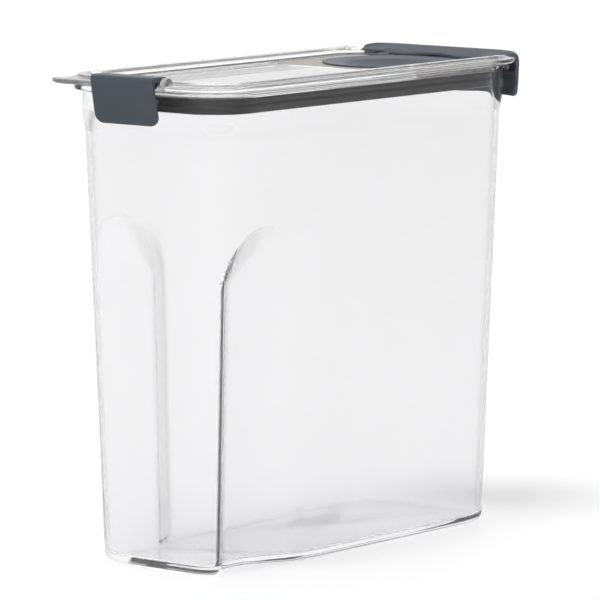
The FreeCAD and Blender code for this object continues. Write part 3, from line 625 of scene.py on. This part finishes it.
def make_pour_latch():
    """The wide latch: skirt round the lid's rounded end, pad scooped round the cap, and bead."""
    half = REAR_HIGH[1] - 1.72
    low, top = REAR_LOW[2], REAR_HIGH[2]
    gap, face = SKIRT_GAP, SKIRT_GAP + SKIRT_WALL
    blend = 1.4
    sections = []
    for y, d in latch_stations(half, 9.0, 30, 18, 0.06):
        x, angle = end_curve(y)
        sx, sy = math.cos(angle), math.copysign(math.sin(angle), y)
        drop = round_off(max(abs(y) - (half - 7.0), 0.0) / 7.0)
        foot = 3.4 * round_off(max(abs(y) - (half - 4.0), 0.0) / 4.0)
        reach = (CAP_HIGH[0] - POUR_X + 0.6) ** 2 - y ** 2
        scoop = POUR_X + math.sqrt(reach) if reach > 0.0 else 0.0
        inner_x = 0.5 * (scoop + PAD_X + math.sqrt((scoop - PAD_X) ** 2 + blend ** 2))
        slope = min(max((119.0 - inner_x) / 12.0, 0.0), 1.0)
        beside_cap = float(smooth_step((32.0 - abs(y)) / 4.0)) * slope
        lip_top = top - 0.3 - 2.6 * slope - 0.5 * drop
        lip_under = lip_top - 1.3 - 1.2 * beside_cap
        lip_top -= 0.9 * beside_cap
        middle = (inner_x + x) / 2.0
        # Most corners are measured from the lid's curved end, and the pad's are fixed places.
        pad_top = [
            (inner_x + d, lip_under + d, 0.5), (inner_x + d, lip_top - d, 0.7),
            (middle, top - 0.7 - 0.8 * slope - 1.0 * drop - d, 3.0),
        ]
        round_end = [
            (-1.6, top - 0.1 - 1.6 * drop - d, 1.2),
            (face - 0.6 - d, top - 0.2 - 2.4 * drop - d, 1.5),
            (face - d, top - 2.4 - 3.4 * drop, 1.2), (face - 0.4 - d, low + 6.0 + foot, 1.0),
            (face - 0.9 - d, low + foot + d, 0.9), (gap - 0.9 + d, low + foot + d, 0.8),
            (gap - 0.5 + d, low + 2.0 + foot, 0.8), (gap + d, low + 4.2 + foot * 0.5, 0.8),
            (gap + d, low + 10.6, 0.6), (gap - 0.35 + d, low + 11.2, 0.4),
            (gap - 0.35 + d, low + 12.9, 0.4), (gap + d, low + 13.6, 0.6),
            (gap + d, top - 3.4 - 1.0 * drop, 1.0), (-1.4, top - 2.1 - 0.9 * drop, 1.2),
        ]
        pad_under = [(middle, top - 2.4 - 0.6 * slope - 0.5 * drop, 2.0)]
        flat = pad_top + [(a + x, b, radius) for a, b, radius in round_end] + pad_under
        section = []
        for a, b in round_corners(flat):
            turned = max(a - x, -2.0)
            section.append((x + turned * sx + (a - x - turned), y + turned * sy, b))
        sections.append(section)
    latch = skin("pour_latch_cover", sections)
    pivot_x, pivot_z = REAR_PIVOT
    arm = round_corners([
        (pivot_x - 1.9, pivot_z - 1.9, 1.8), (pivot_x + 1.9, pivot_z - 1.9, 1.8),
        (pivot_x + 2.6, pivot_z - 0.2, 0.8), (109.4, 229.4, 0.6), (109.4, 230.4, 0.6),
        (PAD_X, 230.1, 0.6), (pivot_x - 1.9, pivot_z + 1.9, 1.2),
    ])
    for sign in (-1.0, 1.0):
        ends = across(sign, *KNUCKLE_Y)
        carve(latch, skin("cutter", [[(a, y, b) for a, b in arm] for y in ends]), "UNION")
    return latch


def make_pour_cap():
    """The round cap: a broad shallow dish with a softened brim, and the plug under it."""
    low, top, brim = CAP_LOW[2], CAP_HIGH[2], CAP_HIGH[0] - POUR_X
    under = PANEL_TOP + 0.05
    profile = [
        (0.0, top - 4.6, 0.0), (9.0, top - 4.45, 3.0), (16.5, top - 3.7, 4.0),
        (21.5, top - 2.2, 3.0), (25.0, top - 0.9, 2.0), (29.6, top - 0.35, 1.2),
        (brim - 1.4, top, 0.5), (brim - 0.1, top, 0.5), (brim, under, 0.1), (PLUG_R, under, 0.1),
        (PLUG_R, 224.0, 0.2), (GROOVE_R, 224.0, 0.1), (GROOVE_R, 222.2, 0.1),
        (PLUG_R, 222.2, 0.2), (PLUG_R - 0.1, low, 0.8), (23.5, low, 0.6),
        (23.2, low + 0.9, 0.5), (0.0, low + 0.9, 0.0),
    ]
    return lathe("pour_cap_dish", profile, POUR_X)


def make_flap_lugs():
    """Slate sleeves on the flap's hinge lugs, either side of each latch knuckle."""
    spans = [across(sign, *span) for sign in (-1.0, 1.0) for span in SLEEVES_Y]
    sleeves, *others = [rod(*REAR_PIVOT, SLEEVE_RADIUS, *span) for span in spans]
    sleeves.name = "flap_lug_sleeves"
    for other in others:
        carve(sleeves, other, "UNION")
    carve(sleeves, rod(*REAR_PIVOT, PIN_BORE, -40.0, 40.0))
    return sleeves


def make_pour_seal():
    """The cap's seal ring with a rounded outer edge; its section ends where it starts."""
    profile = [
        (GROOVE_R, 223.95, 0.0), (26.7, 223.95, 0.3), (27.0, 223.1, 0.5), (26.7, 222.25, 0.3),
        (GROOVE_R, 222.25, 0.0), (GROOVE_R, 223.95, 0.0),
    ]
    return lathe("pour_seal", profile, POUR_X)


# ---------------------------------------------------------------- materials


class Tree:
    """A small helper for building a node tree."""

    def __init__(self, tree):
        self.tree = tree

    def add(self, kind, **values):
        """Add a node: lower-case names are its settings and capitalised names its inputs."""
        node = self.tree.nodes.new(kind)
        for key, value in values.items():
            if key[0].islower():
                setattr(node, key, value)
            else:
                node.inputs[key.replace("_", " ")].default_value = value
        return node

    def link(self, source, socket_out, target, socket_in):
        """Join one node's output to another's input."""
        self.tree.links.new(source.outputs[socket_out], target.inputs[socket_in])

    def ramp(self, source, socket, low, high, start=0.3, end=0.7):
        """A colour that runs from low to high as a value goes from start to end."""
        node = self.add("ShaderNodeValToRGB")
        for element, position, colour in zip(node.color_ramp.elements, (start, end), (low, high)):
            element.position = position
            element.color = colour
        self.link(source, socket, node, "Fac")
        return node


class Finish(Tree):
    """The nodes of one material, round its Principled shader."""

    def __init__(self, name):
        self.material = bpy.data.materials.new(name)
        self.material.use_nodes = True
        super().__init__(self.material.node_tree)
        self.shader = self.tree.nodes["Principled BSDF"]
        self.output = self.tree.nodes["Material Output"]

    def set(self, **inputs):
        """Set the shader's own sockets."""
        for key, value in inputs.items():
            self.shader.inputs[key.replace("_", " ")].default_value = value

    def place(self):
        """Object coordinates, in metres."""
        return self.add("ShaderNodeTexCoord")

    def noise(self, scale, detail=4.0, roughness=0.55):
        """Noise fixed to the object."""
        node = self.add("ShaderNodeTexNoise", Scale=scale, Detail=detail, Roughness=roughness)
        self.link(self.place(), "Object", node, "Vector")
        return node

    def colour(self, source, dark, light, start=0.3, end=0.7):
        """Colour the surface between two colours by a texture."""
        self.link(self.ramp(source, "Fac", dark, light, start, end), "Color",
                  self.shader, "Base Color")

    def gloss(self, source, low, high, start=0.3, end=0.7):
        """Vary the surface's roughness between two values by a texture."""
        self.link(self.ramp(source, "Fac", grey(low), grey(high), start, end), "Color",
                  self.shader, "Roughness")

    def by_height(self, socket, low, high):
        """Let one of the shader's values change from one (height, value) pair to another."""
        parts = self.add("ShaderNodeSeparateXYZ")
        self.link(self.place(), "Object", parts, "Vector")
        change = self.add("ShaderNodeMapRange", From_Min=low[0], From_Max=high[0],
                          To_Min=low[1], To_Max=high[1])
        self.link(parts, "Z", change, "Value")
        self.link(change, "Result", self.shader, socket)

    def bump(self, source, strength, distance):
        """Raise the surface by a texture, with the distance in metres."""
        node = self.add("ShaderNodeBump", Strength=strength, Distance=distance)
        self.link(source, "Fac", node, "Height")
        self.link(node, "Normal", self.shader, "Normal")


def grey(value):
    """An opaque grey."""
    return (value, value, value, 1.0)


def clear_plastic(name, tint, roughness, index, edge_share):
    """Polished clear plastic: faint flow ripple and haze, and a deeper tint edge-on.

    A shadow ray goes through it, only a little dimmed.
    """
    nodes = Finish(name)
    nodes.set(IOR=index, Transmission_Weight=0.93)
    facing = nodes.add("ShaderNodeLayerWeight", Blend=0.5)
    deep = tuple(value * edge_share for value in tint[:3]) + (1.0,)
    body = nodes.ramp(facing, "Facing", tint, deep, 0.42, 0.92)
    nodes.link(body, "Color", nodes.shader, "Base Color")
    nodes.bump(nodes.noise(14.0, 1.5, 0.4), 0.04, 0.0006)
    nodes.gloss(nodes.noise(380.0, 3.0, 0.6), roughness, roughness + 0.02, 0.45, 0.75)
    path = nodes.add("ShaderNodeLightPath")
    through = nodes.add("ShaderNodeBsdfTransparent", Color=(0.89, 0.89, 0.9, 1.0))
    mix = nodes.add("ShaderNodeMixShader")
    nodes.link(path, "Is Shadow Ray", mix, "Fac")
    nodes.link(nodes.shader, "BSDF", mix, 1)
    nodes.link(through, "BSDF", mix, 2)
    nodes.link(mix, "Shader", nodes.output, "Surface")
    return nodes


def clear_bin_plastic():
    """The bin's plastic: softer bending of light at the foot, and least haze in the mouth."""
    nodes = clear_plastic("clear_bin_plastic", (0.925, 0.922, 0.928, 1.0), 0.01, 1.24, 0.7)
    nodes.by_height("IOR", (0.005, 1.16), (0.012, 1.24))
    nodes.by_height("Transmission Weight", (0.198, 0.935), (0.211, 0.988))
    return nodes.material


def moulded_plastic(name, dark, light, roughness, grain=2600.0):
    """Satin moulded plastic: fine spark grain, faint colour drift and uneven gloss."""
    nodes = Finish(name)
    nodes.colour(nodes.noise(26.0, 3.0), dark, light, 0.25, 0.75)
    fine = nodes.noise(grain, 2.0, 0.6)
    nodes.gloss(fine, roughness - 0.05, roughness + 0.07)
    nodes.bump(fine, 0.12, 0.00006)
    nodes.set(IOR=1.45, Specular_IOR_Level=0.3)
    return nodes.material


def seal_rubber(name):
    """Soft dark seal: near-black with a dusty bloom and a fine orange-peel surface."""
    nodes = Finish(name)
    nodes.colour(nodes.noise(90.0, 5.0), (0.012, 0.012, 0.013, 1.0), (0.022, 0.022, 0.024, 1.0),
                 0.35, 0.8)
    fine = nodes.noise(1500.0, 2.0)
    nodes.gloss(fine, 0.26, 0.38)
    nodes.bump(fine, 0.15, 0.00008)
    nodes.set(Specular_IOR_Level=0.2)
    return nodes.material


def drawn_steel(name):
    """Drawn wire for the pins: fine lengthwise lines."""
    nodes = Finish(name)
    mapping = nodes.add("ShaderNodeMapping", Scale=(6000.0, 60.0, 6000.0))
    nodes.link(nodes.place(), "Object", mapping, "Vector")
    lines = nodes.add("ShaderNodeTexNoise", Scale=1.0, Detail=3.0)
    nodes.link(mapping, "Vector", lines, "Vector")
    nodes.colour(lines, grey(0.5), grey(0.68))
    nodes.gloss(lines, 0.2, 0.34)
    nodes.set(Metallic=1.0)
    return nodes.material


def dress(obj, material):
    """Give an object one material in place of any it has."""
    obj.data.materials.clear()
    obj.data.materials.append(material)


# ---------------------------------------------------------------- stage

FLOOR_HALF = 4000.0
FLOOR_DROP = 0.0002    # metres, so that the floor and the bin's underside don't coincide
BRIGHT_HEADING = math.radians(39.0)
SUN_DIRECTION = (0.36, 0.0, -0.93)
CAMERA_PLACE = (-1.9299, -1.5608, 0.4398)
CAMERA_TARGET = (0.0044, 0.0017, 0.1171)


def make_floor():
    """A pale floor, left out of reflections."""
    corners = [(sx * FLOOR_HALF, sy * FLOOR_HALF, 0.0) for sx, sy in
               ((-1, -1), (1, -1), (1, 1), (-1, 1))]
    floor = make_object("studio_floor", corners, [(0, 1, 2, 3)], smooth=False)
    floor.location.z = -FLOOR_DROP
    nodes = Finish("studio_floor")
    nodes.set(Base_Color=grey(0.94), Roughness=0.6)
    dress(floor, nodes.material)
    floor.visible_glossy = False


def make_world():
    """An even pale surround, which reflections see darker to either side of one heading."""
    world = bpy.data.worlds.new("studio")
    world.use_nodes = True
    bpy.context.scene.world = world
    nodes = Tree(world.node_tree)
    background = nodes.tree.nodes["Background"]
    place = nodes.add("ShaderNodeTexCoord")
    along = nodes.add("ShaderNodeVectorMath", operation="DOT_PRODUCT")
    along.inputs[1].default_value = (math.cos(BRIGHT_HEADING), math.sin(BRIGHT_HEADING), 0.0)
    nodes.link(place, "Generated", along, 0)
    parts = nodes.add("ShaderNodeSeparateXYZ")
    nodes.link(place, "Generated", parts, 0)
    both = nodes.add("ShaderNodeMath", operation="MAXIMUM")
    for i, (source, socket) in enumerate(((parts, "Z"), (along, "Value"))):
        size = nodes.add("ShaderNodeMath", operation="ABSOLUTE")
        nodes.link(source, socket, size, 0)
        nodes.link(size, "Value", both, i)
    ramp = nodes.ramp(both, "Value", (0.3, 0.3, 0.31, 1.0), grey(1.05), 0.5, 0.97)
    path = nodes.add("ShaderNodeLightPath")
    mix = nodes.add("ShaderNodeMix", data_type="RGBA")
    factor, even, seen, mixed = 0, 6, 7, 2    # socket numbers of a colour mix
    mix.inputs[even].default_value = grey(0.77)
    nodes.link(path, "Is Glossy Ray", mix, factor)
    nodes.link(ramp, "Color", mix, seen)
    nodes.link(mix, mixed, background, "Color")
    background.inputs["Strength"].default_value = 1.0


def make_sun():
    """One broad soft key light from above."""
    sun = bpy.data.lights.new("key_sun", "SUN")
    sun.energy = 1.37
    sun.angle = math.radians(24.0)
    lamp = bpy.data.objects.new("key_sun", sun)
    lamp.rotation_euler = Vector(SUN_DIRECTION).to_track_quat("-Z", "Y").to_euler()
    bpy.context.scene.collection.objects.link(lamp)


def make_camera():
    """A long lens from the narrow-latch corner, a little above the lid."""
    data = bpy.data.cameras.new("camera")
    data.lens = 309.0
    data.sensor_width = 36.0
    data.clip_end = 20.0
    camera = bpy.data.objects.new("camera", data)
    camera.location = Vector(CAMERA_PLACE)
    view = Vector(CAMERA_TARGET) - camera.location
    camera.rotation_euler = view.to_track_quat("-Z", "Y").to_euler()
    bpy.context.scene.collection.objects.link(camera)
    bpy.context.scene.camera = camera
    bpy.context.scene.view_settings.view_transform = "Standard"


# ---------------------------------------------------------------- assembly


def build():
    """Make every piece, put it on its body and dress it."""
    clear_bin = clear_bin_plastic()
    clear_lid = clear_plastic("clear_lid_plastic", grey(0.99), 0.015, 1.26, 0.95).material
    slate = moulded_plastic("slate_plastic", (0.062, 0.073, 0.09, 1.0),
                            (0.074, 0.086, 0.104, 1.0), 0.4)
    tan = moulded_plastic("flap_plastic", (0.33, 0.305, 0.285, 1.0),
                          (0.37, 0.345, 0.325, 1.0), 0.42)
    rubber = seal_rubber("seal_rubber")
    steel = drawn_steel("pin_steel")
    for obj, body, node, slot, material in (
        (make_bin(), "bin", "bin_body", "clear_bin", clear_bin),
        (make_lid(), "lid", "lid", "clear_lid", clear_lid),
        (make_lid_seal(), "lid", "lid_gasket", "seal_rubber", rubber),
        (make_front_latch(), "front_latch", "front_latch", "slate_plastic", slate),
        (make_pour_latch(), "pour_latch", "pour_latch", "slate_plastic", slate),
        (make_pour_cap(), "pour_flap", "pour_cap", "slate_plastic", slate),
        (make_pour_seal(), "pour_flap", "pour_gasket", "seal_rubber", rubber),
    ):
        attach(obj, body)
        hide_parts(node)
        dress(obj, material)
    lugs = make_flap_lugs()
    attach(lugs, "pour_flap")
    dress(lugs, slate)
    dress(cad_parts["pour_flap"], tan)
    for name in ("front_latch_pin", "pour_flap_pin", "pour_latch_pin"):
        dress(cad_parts[name], steel)


make_camera()
make_floor()
make_world()
make_sun()
build()
